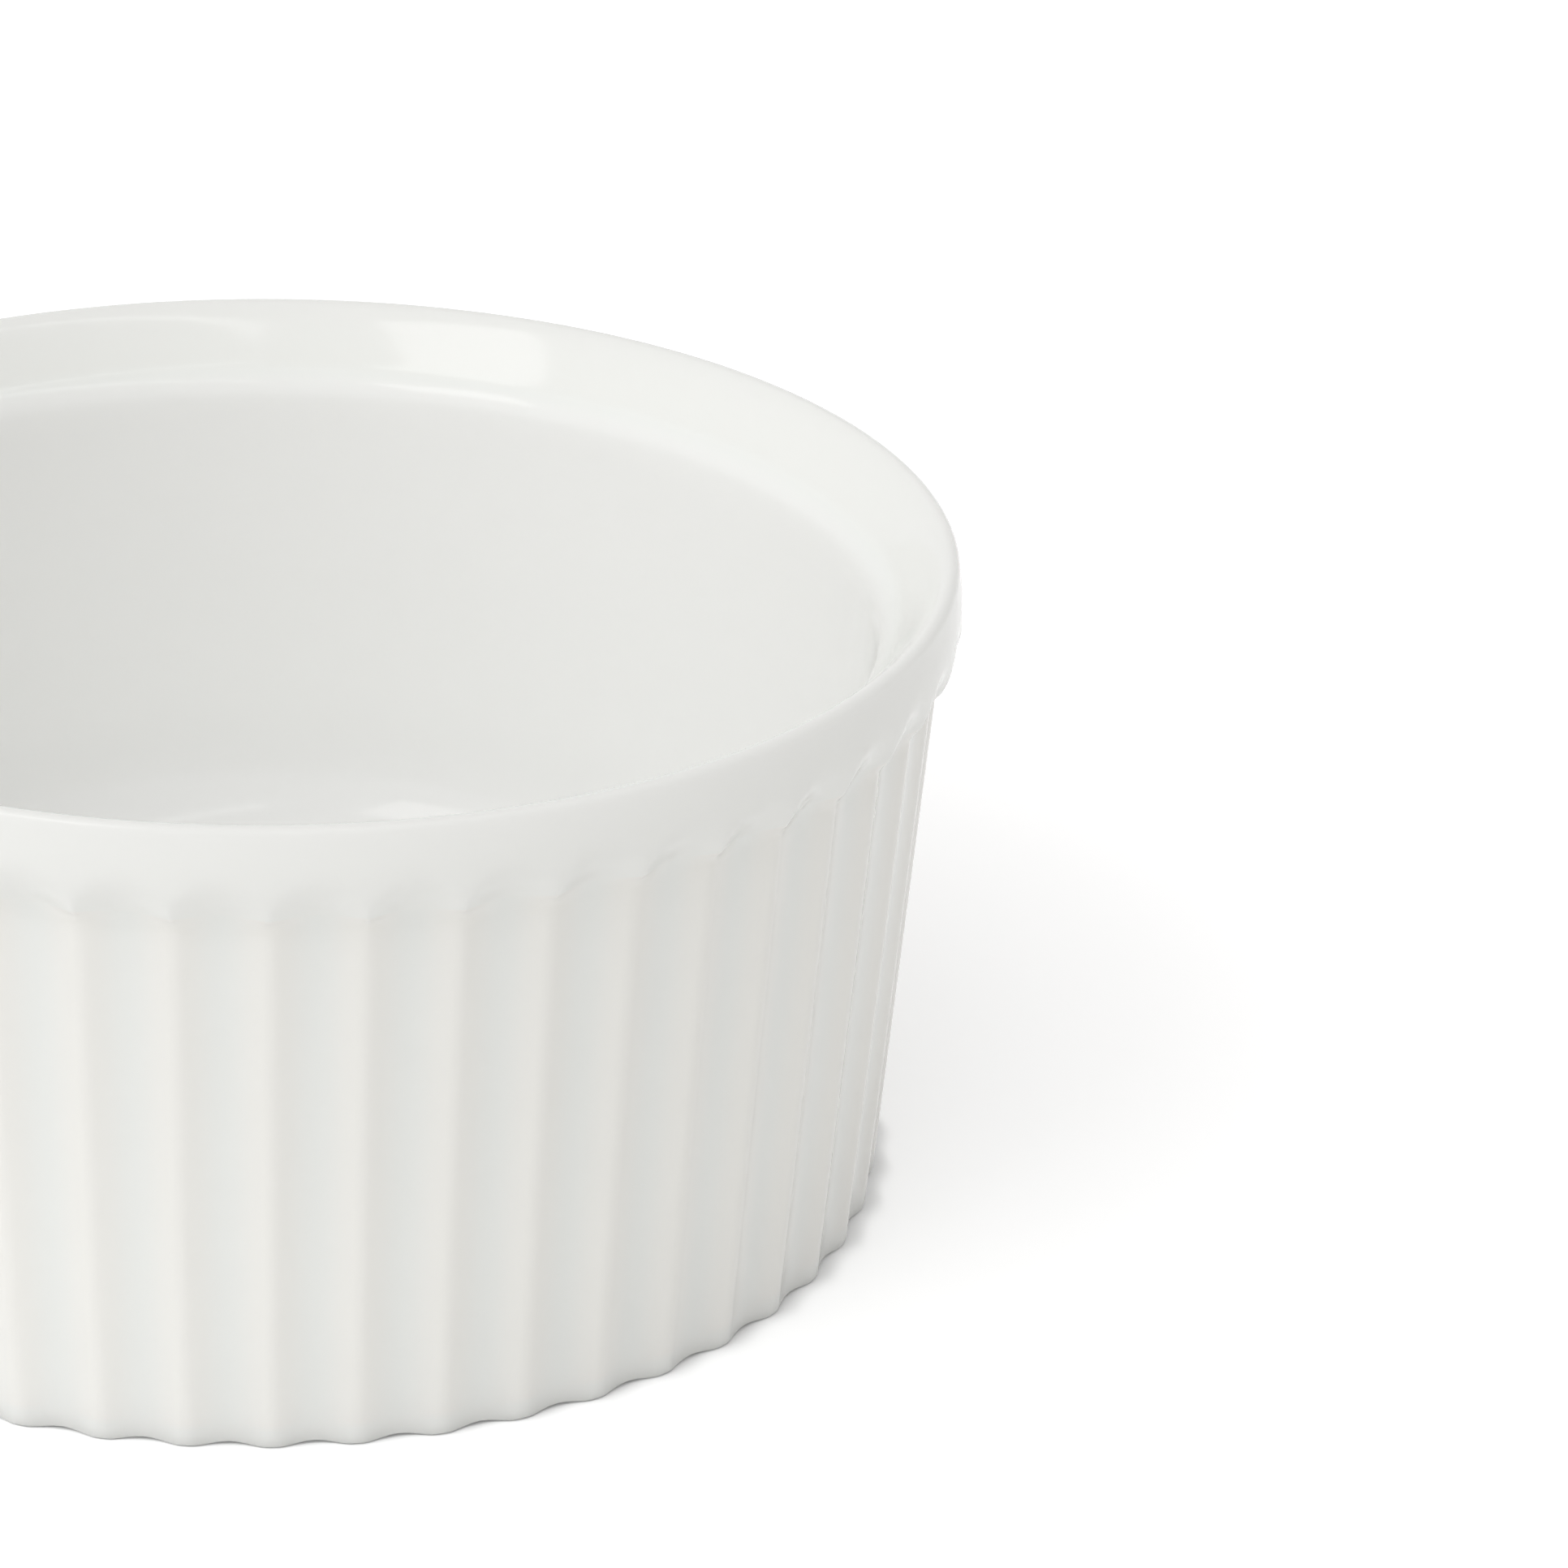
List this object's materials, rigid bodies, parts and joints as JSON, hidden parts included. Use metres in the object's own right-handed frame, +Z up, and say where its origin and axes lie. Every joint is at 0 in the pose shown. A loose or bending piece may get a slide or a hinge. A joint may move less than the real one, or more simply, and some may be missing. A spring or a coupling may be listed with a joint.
{
  "type": "ramekin",
  "caption": "Round fluted porcelain ramekin with a swollen rim band, flared inner lip, deep straight bowl and low bare foot ring, glazed clear white.",
  "frame": {"origin": "centre of the foot ring's resting plane, under the middle of the dish", "axes": "+Z up along the dish's axis of revolution, out of the bowl's mouth; +X and +Y level, each over a ridge between two flutes"},
  "size_m": [0.09, 0.09, 0.044],
  "materials": {
    "bare_porcelain": "matte",
    "white_glaze": "gloss"
  },
  "bodies": {
    "root": {"porcelain_body": "bare_porcelain", "glaze_coat": "white_glaze", "recess_glaze": "white_glaze"}
  },
  "joints": []
}
